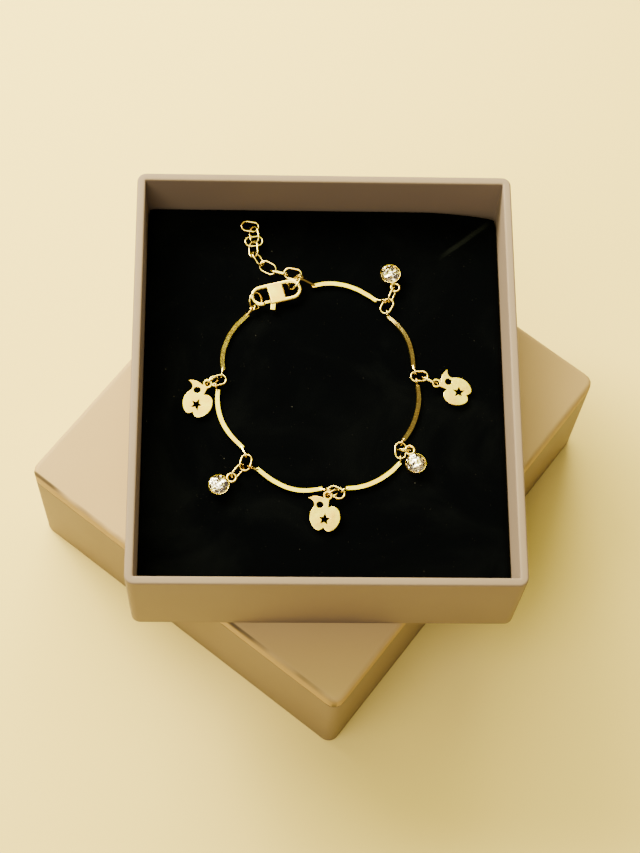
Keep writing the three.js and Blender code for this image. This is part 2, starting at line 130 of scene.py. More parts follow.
class Shader:
    """A material's node tree, built by short calls."""

    def __init__(self, name: str) -> None:
        """Starts a material with one Principled surface.

        Args:
            name: The material's name.
        """
        self.material = bpy.data.materials.new(name)
        self.material.use_nodes = True
        self.tree = self.material.node_tree
        self.surface = self.tree.nodes["Principled BSDF"]
        self.place = self.node("ShaderNodeTexCoord", {}, {}).outputs["Object"]

    def node(self, kind: str, settings: dict[str, object], inputs: dict[int | str, object]) -> Node:
        """Adds a node, its settings first and then its sockets.

        Args:
            kind: Node type.
            settings: Attributes of the node.
            inputs: Values or links by socket index or name.

        Returns:
            The new node.
        """
        made = self.tree.nodes.new(kind)
        for key, value in settings.items():
            setattr(made, key, value)
        for key, value in inputs.items():
            self.feed(made.inputs[key], value)
        return made

    def feed(self, socket: NodeSocket, value: object) -> None:
        """Links or sets one input.

        Args:
            socket: The input.
            value: A field, an output socket, a number or a colour.
        """
        if isinstance(value, (Field, NodeSocket)):
            self.tree.links.new(getattr(value, "socket", value), socket)
        elif isinstance(value, tuple) and len(value) == 3 and len(socket.default_value) == 4:
            socket.default_value = (*value, 1.0)
        else:
            socket.default_value = value

    def number(self, kind: str, settings: dict[str, object], inputs: dict[int | str, object]) -> Field:
        """Adds a node and gives its first output as a number."""
        return Field(self, self.node(kind, settings, inputs).outputs[0])

    def stretched(self, scale: Vector) -> NodeSocket:
        """Object coordinates, multiplied axis by axis."""
        terms = {0: self.place, 1: scale}
        return self.node("ShaderNodeVectorMath", {"operation": "MULTIPLY"}, terms).outputs[0]

    def grain(self, scale: float, detail: float = 3.0, rough: float = 0.5,
              place: NodeSocket | None = None, warp: float = 0.0) -> Field:
        """Soft noise.

        Args:
            scale: Spots per metre.
            detail: Octaves.
            rough: Weight of the fine octaves.
            place: Coordinates, or Object coordinates if left out.
            warp: Distortion.

        Returns:
            The noise, about 0 to 1.
        """
        inputs = {"Vector": place or self.place, "Scale": scale, "Detail": detail,
                  "Roughness": rough, "Distortion": warp}
        return self.number("ShaderNodeTexNoise", {"noise_dimensions": "3D"}, inputs)

    def cells(self, scale: float) -> Field:
        """Distance to the middle of the nearest cell, at so many cells per metre."""
        terms = {"Vector": self.place, "Scale": scale}
        return self.number("ShaderNodeTexVoronoi", {"feature": "F1"}, terms)

    def axis(self, index: int) -> Field:
        """One of the Object coordinates in metres, 0 for X to 2 for Z."""
        return Field(self, self.node("ShaderNodeSeparateXYZ", {}, {0: self.place}).outputs[index])

    def blend(self, factor: Field | float, first: object, second: object) -> NodeSocket:
        """Mixes two colours by the share of the second."""
        terms = {0: factor, 6: first, 7: second}
        return self.node("ShaderNodeMix", {"data_type": "RGBA"}, terms).outputs[2]

    def bump(self, height: Field, strength: float, distance: float) -> None:
        """Feeds the surface's Normal from a height of 0 to 1 that is so many metres deep."""
        terms = {"Strength": strength, "Distance": distance, "Height": height}
        self.feed(self.surface.inputs["Normal"], self.node("ShaderNodeBump", {}, terms).outputs["Normal"])

    def finish(self, **sockets: object) -> Material:
        """Sets the surface's sockets.

        Args:
            sockets: Values or links by socket name with underscores.

        Returns:
            The material.
        """
        for name, value in sockets.items():
            self.feed(self.surface.inputs[name.replace("_", " ")], value)
        return self.material


@dataclass(frozen=True)
class PolishedGold:
    """Gold plating: bright, with a faint orange-peel and fine wear."""

    name: str = "polished_gold"
    light: Colour = (1.0, 0.85, 0.2)
    deep: Colour = (0.94, 0.64, 0.12)
    clouds: float = 260
    pores: float = 2600
    sheen: float = 0.12
    wear: float = 0.14
    peel: float = 0.00001
    wave: float = 0.00012

    def material(self) -> Material:
        """Builds the material.

        Returns:
            The material.
        """
        shader = Shader(self.name)
        cloud = shader.grain(self.clouds, 2)
        fine = shader.grain(self.pores, 3)
        colour = shader.blend(cloud.span(0.35, 0.7), self.light, self.deep)
        shader.bump(cloud * (self.wave / self.peel) + fine, 0.4, self.peel)
        rough = fine.span(0.3, 0.75) * self.wear + self.sheen
        return shader.finish(Base_Color=colour, Metallic=1.0, Roughness=rough)


@dataclass(frozen=True)
class CutStone:
    """A clear cut stone with a faint cool tint, mixed with yellowish patches that are painted glints."""

    name: str = "cut_stone"
    tint: Colour = (0.97, 0.96, 0.92)
    painted_glint: Colour = (1.0, 0.93, 0.68)
    glint_scale: float = 700
    bend: float = 2.1
    cuts: float = 760.0
    cut_depth: float = 0.0006

    def material(self) -> Material:
        """Builds the material.

        Returns:
            The material.
        """
        shader = Shader(self.name)
        # Painted glints: yellowish patches mixed into the stone's clear colour.
        colour = shader.blend(shader.grain(self.glint_scale, 1).span(0.4, 0.65), self.tint, self.painted_glint)
        shader.bump(shader.cells(self.cuts), 1.0, self.cut_depth)
        return shader.finish(Base_Color=colour, Metallic=0.5, Roughness=0.02, IOR=self.bend,
                             Transmission_Weight=1.0)


@dataclass(frozen=True)
class BlackVelvet:
    """Black velvet: a short pile with brushed patches, a faint crease and specks of lint."""

    name: str = "black_velvet"
    deep: Colour = (0.0007, 0.0009, 0.0013)
    brushed: Colour = (0.0022, 0.0027, 0.0032)
    pressed: Colour = (0.0045, 0.0055, 0.0055)
    lint: Colour = (0.07, 0.068, 0.06)
    pile: float = 5200
    patches: float = 38
    crease_from: Point = (0.0345, 0.0428)
    crease_slope: float = 0.77
    crease_width: float = 0.0011
    crease_wander: float = 0.0012
    crease_start: Point = (0.032, 0.037)
    crease_end: Point = (0.0475, 0.045)

    def material(self) -> Material:
        """Builds the material.

        Returns:
            The material.
        """
        shader = Shader(self.name)
        patches = shader.grain(self.patches, 4, 0.55, warp=0.8)
        tone = shader.blend(patches.span(0.42, 0.75) * 0.7, self.deep, self.brushed)
        tone = shader.blend(self._crease(shader), tone, self.pressed)
        specks = shader.cells(330).span(0.055, 0.03) * shader.grain(120, 1).span(0.56, 0.66)
        dust = shader.cells(1400).span(0.12, 0.06) * shader.grain(300, 1).span(0.58, 0.7)
        colour = shader.blend((specks * 0.7).at_least(dust * 0.3), tone, self.lint)
        shader.bump(shader.grain(self.pile, 2, 0.7), 0.5, 0.0002)
        return shader.finish(Base_Color=colour, Roughness=0.95, Specular_IOR_Level=0.0, Sheen_Weight=0.004,
                             Sheen_Roughness=0.5)

    def _crease(self, shader: Shader) -> Field:
        """The pressed line near the far right corner.

        Args:
            shader: The material's node builder.

        Returns:
            1 on the line and 0 away from it.
        """
        x, y = shader.axis(0), shader.axis(1)
        away = y - self.crease_from[1] - (x - self.crease_from[0]) * self.crease_slope
        away = away + (shader.grain(90, 2) - 0.5) * self.crease_wander
        return away.line(self.crease_width) * x.span(*self.crease_start) * x.span(*self.crease_end)


@dataclass(frozen=True)
class CoveredCard:
    """Card covered with smooth beige paper, with a line of painted shade along a joint where one is asked
    for.
    """

    name: str = "covered_card"
    light: Colour = (0.236, 0.178, 0.14)
    deep: Colour = (0.218, 0.163, 0.126)
    fibres: float = 1500
    clouds: float = 26
    flecks: float = 420
    gloss: float = 0.5
    joint_shade: Colour = (0.05, 0.033, 0.02)
    joint_shade_turn: float = 52.0
    joint_shade_at: float | None = None
    joint_shade_width: float = 0.0006

    def material(self) -> Material:
        """Builds the material.

        Returns:
            The material.
        """
        shader = Shader(self.name)
        fibre = shader.grain(self.fibres, 4, 0.6)
        cloud = shader.grain(self.clouds, 3)
        flecks = shader.grain(self.flecks, 2, 0.5, shader.stretched(Vector((1, 1, 0.35))))
        colour = shader.blend(cloud.span(0.3, 0.7) * 0.6 + fibre * 0.3, self.light, self.deep)
        colour = shader.blend(flecks.span(0.68, 0.78) * 0.15, colour, self.deep)
        # Painted shade: a dark line along the joint between the lid's padded top and its side, broken up by
        # noise.
        if self.joint_shade_at is not None:
            turn = math.radians(self.joint_shade_turn)
            away = shader.axis(0) * math.cos(turn) + shader.axis(1) * math.sin(turn) + self.joint_shade_at
            dark = away.line(self.joint_shade_width) * shader.grain(60, 2).span(0.3, 0.55) * 0.9
            colour = shader.blend(dark, colour, self.joint_shade)
        shader.bump(fibre * 0.7 + flecks * 0.3, 0.25, 0.00005)
        return shader.finish(Base_Color=colour, Roughness=cloud * 0.12 + self.gloss, Specular_IOR_Level=0.2)


@dataclass(frozen=True)
class PaperFloor:
    """The plain pale surface that the box stands on."""

    name: str = "pale_paper"
    tone: Colour = (0.9, 0.73, 0.22)
    shade: Colour = (0.88, 0.71, 0.21)

    def material(self) -> Material:
        """Builds the material.

        Returns:
            The material.
        """
        shader = Shader(self.name)
        colour = shader.blend(shader.grain(3, 3), self.tone, self.shade)
        shader.bump(shader.grain(900, 3), 0.12, 0.0001)
        return shader.finish(Base_Color=colour, Roughness=0.75, Specular_IOR_Level=0.1)


# Modelling.


def add_object(name: str, data: ID) -> Object:
    """Adds an object to the scene.

    Args:
        name: Its name.
        data: Its mesh, curve, light or camera.

    Returns:
        The object.
    """
    made = bpy.data.objects.new(name, data)
    bpy.context.scene.collection.objects.link(made)
    return made


def as_mesh(holder: Object) -> Mesh:
    """An object's shape as a mesh, with its modifiers applied.

    Args:
        holder: The object, which is removed.

    Returns:
        The mesh.
    """
    bpy.context.view_layer.update()
    mesh = bpy.data.meshes.new_from_object(holder.evaluated_get(bpy.context.evaluated_depsgraph_get()))
    bpy.data.objects.remove(holder)
    return mesh


def spun(degrees: float, axis: str) -> Matrix:
    """A turn about an axis."""
    return Matrix.Rotation(math.radians(degrees), 4, axis)


def only(kind: type, items: Iterable[object]) -> list:
    """The items of one kind."""
    return [item for item in items if isinstance(item, kind)]


def arc(centre: Point, radius: float, start: float, end: float, steps: int) -> list[Point]:
    """So many points on an arc, from one angle to another in degrees."""
    angles = [math.radians(start + (end - start) * i / (steps - 1)) for i in range(steps)]
    return [(centre[0] + radius * math.cos(a), centre[1] + radius * math.sin(a)) for a in angles]


class Form:
    """A mesh under construction in millimetres, and the object it becomes."""

    def __init__(self, name: str) -> None:
        """Starts an empty form that will bear the name."""
        self.name = name
        self.mesh = bmesh.new()

    def tube_ring(self, radius: float, wire: float, sides: int, steps: int, place: Matrix,
                  stretch: float = 0.0) -> None:
        """Adds a ring of round wire, stretched along its own X.

        Args:
            radius: Of the wire's middle line.
            wire: Diameter.
            sides: Faces round the wire.
            steps: Faces round the ring.
            place: Where it goes, in millimetres.
            stretch: Half the length of the straight sides.
        """
        section = Matrix.Translation((radius, 0, 0)) @ spun(90, "X")
        made = bmesh.ops.create_circle(self.mesh, segments=sides, radius=wire / 2, matrix=section)
        edges = list({edge for vertex in made["verts"] for edge in vertex.link_edges})
        self._spin(made["verts"] + edges, steps)
        island = self._island(made["verts"][0])
        for vertex in island:
            if abs(vertex.co.x) > 1e-5:
                vertex.co.x += math.copysign(stretch, vertex.co.x)
        bmesh.ops.transform(self.mesh, matrix=place, verts=island)

    def _spin(self, geometry: list, steps: int) -> None:
        """Turns geometry once round Z."""
        bmesh.ops.spin(self.mesh, geom=geometry, cent=(0, 0, 0), axis=(0, 0, 1), angle=FULL_TURN,
                       steps=steps, use_merge=True)

    @staticmethod
    def _island(start: BMVert) -> list[BMVert]:
        """All vertices joined to one.

        Args:
            start: A vertex of the island.

        Returns:
            The island's vertices.
        """
        found, queue = {start}, [start]
        while queue:
            for edge in queue.pop().link_edges:
                fresh = [vertex for vertex in edge.verts if vertex not in found]
                found.update(fresh)
                queue += fresh
        return list(found)

    def rod(self, start: Vector, end: Vector, first: float, last: float, sides: int = 14) -> None:
        """Adds a round rod between two points, which may taper.

        Args:
            start: First point.
            end: Last point.
            first: Radius at the first point.
            last: Radius at the last point.
            sides: Faces round it.
        """
        along = end - start
        turn = Vector((0, 0, 1)).rotation_difference(along).to_matrix().to_4x4()
        bmesh.ops.create_cone(self.mesh, cap_ends=True, segments=sides, radius1=first, radius2=last,
                              depth=along.length, matrix=Matrix.Translation((start + end) / 2) @ turn)

    def ball(self, centre: Vector, radius: float) -> None:
        """Adds a small round bead of solder."""
        place = Matrix.Translation(centre)
        bmesh.ops.create_uvsphere(self.mesh, u_segments=14, v_segments=10, radius=radius, matrix=place)

    def turned(self, profile: Sequence[Point], steps: int) -> None:
        """Adds a closed profile turned about Z.

        Args:
            profile: Radius and height of each point; the first and last may touch the axis.
            steps: Faces round it.
        """
        points = [self.mesh.verts.new((x, 0, z)) for x, z in profile]
        edges = [self.mesh.edges.new(pair) for pair in zip(points, points[1:])]
        self._spin(points + edges, steps)
        bmesh.ops.remove_doubles(self.mesh, verts=self.mesh.verts[:], dist=MERGE)
        bmesh.ops.recalc_face_normals(self.mesh, faces=self.mesh.faces[:])

    def done(self, material: Material, place: Matrix, smooth: float = 32.0) -> Object:
        """Turns the form into an object in metres.

        Args:
            material: Its finish.
            place: From the form's own millimetres to the object's frame in millimetres.
            smooth: Edges sharper than this angle in degrees stay sharp.

        Returns:
            The object, with its place in its mesh.
        """
        bmesh.ops.transform(self.mesh, matrix=Matrix.Scale(MM, 4) @ place, verts=self.mesh.verts[:])
        mesh = bpy.data.meshes.new(self.name)
        self.mesh.to_mesh(mesh)
        self.mesh.free()
        mesh.shade_smooth()
        mesh.set_sharp_from_angle(angle=math.radians(smooth))
        mesh.materials.append(material)
        return add_object(self.name, mesh)


@dataclass(frozen=True)
class Line:
    """One line of a flat shape or route: its points, which of them are sharp, and whether it closes."""

    points: tuple[Point, ...]
    corners: frozenset[int] = frozenset()
    straight: bool = False
    closed: bool = True

    @classmethod
    def circle(cls, centre: Point, radius: float, steps: int = 12) -> Line:
        """A round line."""
        return cls(tuple(arc(centre, radius, 0, 360 - 360 / steps, steps)))

    def draw(self, curve: Curve, height: float = 0.0) -> Spline:
        """Adds the line to a curve.

        Args:
            curve: The curve.
            height: Z of its points.

        Returns:
            The curve's new spline.
        """
        spline = curve.splines.new("BEZIER")
        spline.bezier_points.add(len(self.points) - 1)
        spline.use_cyclic_u = self.closed
        for index, (point, (x, y)) in enumerate(zip(spline.bezier_points, self.points)):
            point.co = (x, y, height)
            kind = Handle.SHARP if self.straight or index in self.corners else Handle.SMOOTH
            point.handle_left_type = point.handle_right_type = kind.value
        return spline


def flat_plate(name: str, lines: Sequence[Line], thickness: float, edge: float,
               resolution: int = 6) -> Mesh:
    """A flat shape with holes and rounded edges.

    Args:
        name: Name of the mesh.
        lines: Outline and holes, in millimetres.
        thickness: Of the plate.
        edge: Radius of its edges.
        resolution: Steps between two points of a line.

    Returns:
        The mesh, centred on its thickness.
    """
    curve = bpy.data.curves.new(name, "CURVE")
    curve.dimensions = "2D"
    curve.fill_mode = "BOTH"
    curve.resolution_u = resolution
    for line in lines:
        line.draw(curve)
    curve.extrude = thickness / 2 - edge
    curve.bevel_depth = edge
    curve.offset = -edge
    curve.bevel_resolution = 3
    return meshed(curve)


def meshed(curve: Curve) -> Mesh:
    """A curve's surface as a mesh, with its doubles merged.

    Args:
        curve: The curve.

    Returns:
        The mesh.
    """
    mesh = as_mesh(add_object(curve.name, curve))
    work = bmesh.new()
    work.from_mesh(mesh)
    bmesh.ops.remove_doubles(work, verts=work.verts[:], dist=MERGE)
    bmesh.ops.recalc_face_normals(work, faces=work.faces[:])
    work.to_mesh(mesh)
    work.free()
    return mesh


# The bracelet.


@dataclass(frozen=True)
class Place:
    """Where something lies: millimetres from the pad's middle and over the velvet, and degrees."""

    x: float
    y: float
    z: float
    heading: float
    lean: float = 0.0

    def matrix(self) -> Matrix:
        """The place as a matrix in the pad's frame."""
        return Matrix.Translation((self.x, self.y, self.z)) @ spun(self.heading, "Z") @ spun(self.lean, "X")


@dataclass(frozen=True)
class Ring:
    """An oval jump ring: outer length and width, wire and place."""

    name: str
    length: float
    width: float
    place: Place
    wire: float = 0.47
    line_steps: int = 96

    @property
    def radius(self) -> float:
        """Radius of the wire's middle line at the ends."""
        return (self.width - self.wire) / 2

    @property
    def half(self) -> float:
        """Half the length of its straight sides."""
        return (self.length - self.width) / 2

    def middle_line(self) -> list[Vector]:
        """Points along the wire's middle.

        Returns:
            The points, in the pad's frame.
        """
        matrix = self.place.matrix()
        points = []
        for i in range(self.line_steps):
            angle = FULL_TURN * (i + 0.5) / self.line_steps
            x, y = self.radius * math.cos(angle), self.radius * math.sin(angle)
            points.append(matrix @ Vector((x + math.copysign(self.half, x), y, 0)))
        return points


@dataclass(frozen=True)
class Charm:
    """Where a charm's eye is, how the charm hangs from it, and the ring that joins it to the loop."""

    number: int
    x: float
    y: float
    heading: float
    ring_heading: float
    ring_lean: float
    slide: float
    bunched: bool = False
    turn: Turn = Turn.FACE_UP


LINK_PLACES = (
    Place(-18.2, 25.8, 2.05, 60, 50), Place(-28.0, 2.8, 1.5, 15), Place(-20.4, -20.3, 1.5, 77),
    Place(3.0, -28.3, 1.5, -25), Place(19.8, -16.6, 1.5, 89), Place(25.2, 4.5, 1.5, 4),
    Place(17.0, 24.9, 1.5, 62), Place(-7.9, 31.3, 2.05, 66, -54),
)
CLASP_LINKS = (1, 8)  # these two are round and hold the clasp
LOOSE_PLACES = (
    Place(-8.25, 34.0, 1.95, -12, 12), Place(-11.8, 34.4, 1.9, -15, -60), Place(-15.0, 36.0, 1.5, -30, 20),
    Place(-17.6, 38.4, 1.9, -60, -45), Place(-18.9, 41.4, 1.5, 95, -40), Place(-18.8, 43.9, 1.5, 5),
    Place(-18.76, 45.92, 1.35, 101, -40), Place(-19.9, 48.4, 1.5, -8),
)
# The bars' middle lines in order: bar 1 joins links 1 and 2.
BAR_ROUTES = (
    ((-20.3, 22.3), (-24.0, 18.0), (-26.1, 13.6), (-26.9, 9.7), (-26.7, 6.0)),
    ((-27.9, 0.3), (-28.0, -2.8), (-27.0, -7.9), (-24.8, -12.0), (-21.2, -16.0)),
    ((-17.4, -21.7), (-15.4, -23.5), (-12.2, -25.7), (-8.4, -27.3), (-4.8, -27.7), (-0.6, -27.1)),
    ((5.6, -27.0), (9.2, -26.6), (13.4, -25.0), (17.3, -22.3), (19.7, -19.8)),
    ((20.6, -13.5), (22.5, -10.5), (24.1, -6.4), (24.9, -2.0), (24.7, 2.2)),
    ((23.7, 7.2), (23.3, 11.6), (22.0, 16.1), (19.8, 19.4), (17.2, 22.0)),
    ((14.2, 26.7), (11.6, 28.5), (8.1, 30.4), (4.1, 31.5), (0.5, 31.6), (-2.9, 30.9)),
)
BAR_ROLLS = {1: -13, 5: 14, 6: 14}  # degrees, the other bars lie flat
APPLES = (
    Charm(2, -30.6, 1.4, 63, 33, 80, -0.2, bunched=True),
    Charm(4, 0.8, -29.5, 82, 28, 80, -0.2, bunched=True),
    Charm(6, 29.7, 2.4, 158, 155, 72, -0.2, turn=Turn.FACE_DOWN),
)
DROPS = (
    Charm(3, -24.0, -24.6, 34, 50, 66, 0.2),
    Charm(5, 22.2, -16.8, 111, 175, 78, -0.2, bunched=True),
    Charm(7, 19.3, 30.3, -71, 247, -72, 0.2),
)


# The apple's side and leaf as shares of half its width, or of its width, and of its height.
APPLE_SIDE = ((0.96, 0.25), (1.0, 0.02), (0.87, -0.2), (0.62, -0.37), (0.35, -0.44), (0.13, -0.4))
APPLE_LEAF = ((0.2, 0.815), (0.42, 0.825), (0.635, 0.73), (0.5, 0.665), (0.415, 0.56), (0.405, 0.43))


@dataclass
class Chain:
    """The loop: jump rings, curved bars and the loose chain."""

    pad: Matrix
    gold: Material
    oval_link: Point = (4.9, 3.2)
    round_link: Point = (4.8, 4.8)
    loose_link: Point = (5.1, 3.3)
    bar_width: float = 1.28
    bar_thickness: float = 0.85
    bar_lift: float = 0.3
    bar_end_share: float = 0.9
    bar_section: tuple[Point, ...] = ((1, 0.3), (0.86, 1), (-0.86, 1), (-1, 0.3), (-0.8, -1), (0.8, -1))
    eye_wire: float = 0.48
    eye_inside: float = 0.96
    rings: dict[str, Ring] = field(init=False)

    def __post_init__(self) -> None:
        """Lists the rings where they lie."""
        rings = []
        for number, place in enumerate(LINK_PLACES, 1):
            size = self.round_link if number in CLASP_LINKS else self.oval_link
            rings.append(Ring(f"bar_link_{number}", *size, place))
        for number, place in enumerate(LOOSE_PLACES, 1):
            rings.append(Ring(f"extender_link_{number}", *self.loose_link, place))
        self.rings = {ring.name: ring for ring in rings}

    def ring_piece(self, ring: Ring) -> Object:
        """Builds one jump ring of round wire.

        Args:
            ring: The ring.

        Returns:
            The piece.
        """
        form = Form(f"{ring.name}_wire")
        form.tube_ring(ring.radius, ring.wire, 16, 56, ring.place.matrix(), ring.half)
        return form.done(self.gold, self.pad, 60)

    def bar_piece(self, number: int) -> Object:
        """Builds one curved bar with its two soldered eyes.

        Args:
            number: Its number round the loop.

        Returns:
            The piece.
        """
        form = Form(f"bar_{number}_polished")
        route = BAR_ROUTES[number - 1]
        form.mesh.from_mesh(self._strip(route, BAR_ROLLS.get(number, 0)))
        height = self.bar_lift + self.bar_thickness / 2
        for end, inner, link in ((route[0], route[1], number), (route[-1], route[-2], number + 1)):
            tip = Vector((*end, height))
            inwards = (Vector((*inner, height)) - tip).normalized()
            self._eye(form, tip, inwards, self.rings[f"bar_link_{link}"])
        return form.done(self.gold, self.pad, 24)

    def _strip(self, route: tuple[Point, ...], roll: float) -> Mesh:
        """A bar's own flat-topped strip along its route.

        Args:
            route: Points of its middle line.
            roll: Its turn about its own length, in degrees.

        Returns:
            The mesh, in the pad's millimetres.
        """
        section = bpy.data.curves.new("bar_section", "CURVE")
        section.dimensions = "2D"
        wide, tall = self.bar_width / 2, self.bar_thickness / 2
        Line(tuple((x * wide, y * tall) for x, y in self.bar_section), straight=True).draw(section)
        shape = add_object("bar_section", section)
        path = bpy.data.curves.new("bar_path", "CURVE")
        path.dimensions = "3D"
        path.twist_mode = "Z_UP"
        path.bevel_mode = "OBJECT"
        path.bevel_object = shape
        path.use_fill_caps = True
        path.resolution_u = 10
        points = Line(route, closed=False).draw(path, self.bar_lift + tall).bezier_points
        for point in points:
            point.tilt = math.radians(roll)
        points[0].radius = points[-1].radius = self.bar_end_share
        mesh = meshed(path)
        bpy.data.objects.remove(shape)
        return mesh

    def _eye(self, form: Form, tip: Vector, inwards: Vector, ring: Ring) -> None:
        """Adds the eye at a bar's end, round the ring's wire where that is nearest.

        Args:
            form: The bar's form.
            tip: The bar's end.
            inwards: Direction along the bar from its end.
            ring: The ring that the eye goes round.
        """
        line = ring.middle_line()
        index = min(range(len(line)), key=lambda i: (line[i] - tip).length)
        centre = line[index]
        along = (line[(index + 1) % len(line)] - centre).normalized()
        out = tip - centre
        out = (out - along * out.dot(along)).normalized()
        turn = Matrix((out, along.cross(out), along)).transposed().to_4x4()
        radius = (self.eye_inside + self.eye_wire) / 2
        form.tube_ring(radius, self.eye_wire, 12, 36, Matrix.Translation(centre) @ turn)
        neck = centre + out * (radius + self.eye_wire * 0.1)
        form.rod(neck, tip + inwards * self.eye_wire * 1.6, self.eye_wire * 0.62, self.bar_thickness * 0.44)
        form.ball(tip + inwards * 0.05, self.bar_thickness * 0.47)

    def build(self) -> Made:
        """Builds every ring and bar, each with the node that it stands for."""
        made = [(self.ring_piece(ring), ring.name) for ring in self.rings.values()]
        return made + [(self.bar_piece(i), f"bar_{i}") for i in range(1, len(BAR_ROUTES) + 1)]


@dataclass
class Charms:
    """The apple and stone charms with the rings that hang them."""

    pad: Matrix
    gold: Material
    stone: Material
    ring_size: Point = (4.9, 3.2)
    bunched_ring_size: Point = (3.8, 3.2)
    wire: float = 0.47
    ring_height: float = 1.7
    bunched_ring_height: float = 2.0
    eye_height: float = 1.75
    bunched_eye_height: float = 2.35
    apple_width: float = 7.9
    apple_height: float = 6.9
    apple_thickness: float = 0.6
    apple_lift: float = 1.3
    apple_edge: float = 0.14
    stem_width: float = 1.15
    eye_distance: float = 6.3
    eye_size: float = 2.5
    eye_hole: float = 1.4
    star_radius: float = 1.45
    star_inner: float = 0.44
    leaf_hole: float = 0.85
    cup_size: float = 5.4
    cup_height: float = 2.5
    cup_wall: float = 0.11
    cup_floor: float = 0.3
    cup_lift: float = 0.3
    cup_eye_size: float = 2.9
    cup_eye_wire: float = 0.62
    cup_solder: float = 0.2
    stone_gap: float = 0.05
    table_share: float = 0.56
    crown: float = 0.75
    girdle: float = 0.2
    pavilion: float = 1.35

    def ring(self, charm: Charm) -> Ring:
        """The ring that hangs a charm.

        Args:
            charm: The charm.

        Returns:
            Its ring.
        """
        length, width = self.bunched_ring_size if charm.bunched else self.ring_size
        reach = (length - self.wire) / 2 + charm.slide
        angle = math.radians(charm.ring_heading)
        height = self.bunched_ring_height if charm.bunched else self.ring_height
        place = Place(charm.x + reach * math.cos(angle), charm.y + reach * math.sin(angle), height,
                      charm.ring_heading, charm.ring_lean)
        return Ring(f"charm_link_{charm.number}", length, width, place, self.wire)

    def _eye_height(self, charm: Charm) -> float:
        """Height of the middle of a charm's eye over the velvet."""
        return self.bunched_eye_height if charm.bunched else self.eye_height

    @staticmethod
    def _hung(charm: Charm, distance: float, height: float) -> Matrix:
        """The frame of a charm whose middle is so far from its eye, its Y towards the eye.

        Args:
            charm: The charm.
            distance: Level distance of its middle from its eye.
            height: Of its middle.

        Returns:
            The frame, in the pad's own.
        """
        angle = math.radians(charm.heading)
        middle = (charm.x - distance * math.cos(angle), charm.y - distance * math.sin(angle), height)
        return Matrix.Translation(middle) @ spun(charm.heading - 90, "Z")

    def apple_outline(self) -> Line:
        """The apple with its leaf, stem and eye as one line, the star's middle at the origin.

        Returns:
            The line.
        """
        half, tall = self.apple_width / 2, self.apple_height
        stem, ring = self.stem_width / 2, self.eye_size / 2
        meet = math.degrees(math.asin(stem / ring))
        points = [(stem, 0.475 * tall), (stem, self.eye_distance - ring * math.cos(math.radians(meet)))]
        points += arc((0, self.eye_distance), ring, -90 + meet, 222, 12)[1:]
        fork = len(points) - 1
        points += [(-out * self.apple_width, rise * tall) for out, rise in APPLE_LEAF]
        tip, hip = fork + 3, fork + 6
        points += [(-out * half, rise * tall) for out, rise in APPLE_SIDE]
        points.append((0, -0.32 * tall))
        notch = len(points) - 1
        points += [(out * half, rise * tall) for out, rise in reversed(APPLE_SIDE)]
        points += [(0.76 * half, 0.455 * tall), (0.4 * half, 0.525 * tall)]
        return Line(tuple(points), frozenset({0, 1, fork, tip, hip, notch}))

    def apple_piece(self, charm: Charm) -> Object:
        """Builds one pierced apple plate with soft edges.

        Args:
            charm: The charm.

        Returns:
            The piece.
        """
        star = []
        for i in range(10):
            reach = self.star_radius * (self.star_inner if i % 2 else 1.0)
            angle = math.pi / 2 + i * math.pi / 5
            star.append((reach * math.cos(angle), reach * math.sin(angle)))
        lines = [
            self.apple_outline(),
            Line(tuple(star), straight=True),
            Line.circle((0, self.eye_distance), self.eye_hole / 2),
            Line.circle((-0.21 * self.apple_width, 0.52 * self.apple_height), self.leaf_hole),
        ]
        form = Form(f"apple_charm_{charm.number}_plate")
        form.mesh.from_mesh(flat_plate("apple_plate", lines, self.apple_thickness, self.apple_edge))
        tilt = math.asin((self._eye_height(charm) - self.apple_lift) / self.eye_distance)
        turn = Matrix.Rotation(tilt, 4, "X") @ Matrix.Rotation(charm.turn.value, 4, "Y")
        place = self._hung(charm, self.eye_distance * math.cos(tilt), self.apple_lift) @ turn
        return form.done(self.gold, self.pad @ place, 9)

    @property
    def _drop_distance(self) -> float:
        """From the middle of a cup to the middle of its eye."""
        return self.cup_size / 2 + self.cup_eye_size / 2 - self.cup_solder

    def setting_piece(self, charm: Charm) -> Object:
        """Builds a round cup with a rolled rim and a soldered eye.

        Args:
            charm: The charm.

        Returns:
            The piece.
        """
        form = Form(f"stone_setting_{charm.number}_cup")
        radius, wall, high, floor = self.cup_size / 2, self.cup_wall, self.cup_height, self.cup_floor
        form.turned([
            (0, 0), (radius * 0.72, 0), (radius * 0.86, 0.12), (radius * 0.97, 0.6), (radius, high * 0.4),
            (radius, high - 0.14), (radius - wall * 0.25, high - 0.02), (radius - wall * 0.7, high - 0.03),
            (radius - wall, high - 0.2), (radius - wall, high * 0.4), (radius * 0.7, floor), (0, floor),
        ], 48)
        eye = Matrix.Translation((0, self._drop_distance, self._eye_height(charm) - self.cup_lift))
        form.tube_ring((self.cup_eye_size - self.cup_eye_wire) / 2, self.cup_eye_wire, 14, 40, eye)
        return form.done(self.gold, self.pad @ self._hung(charm, self._drop_distance, self.cup_lift), 40)

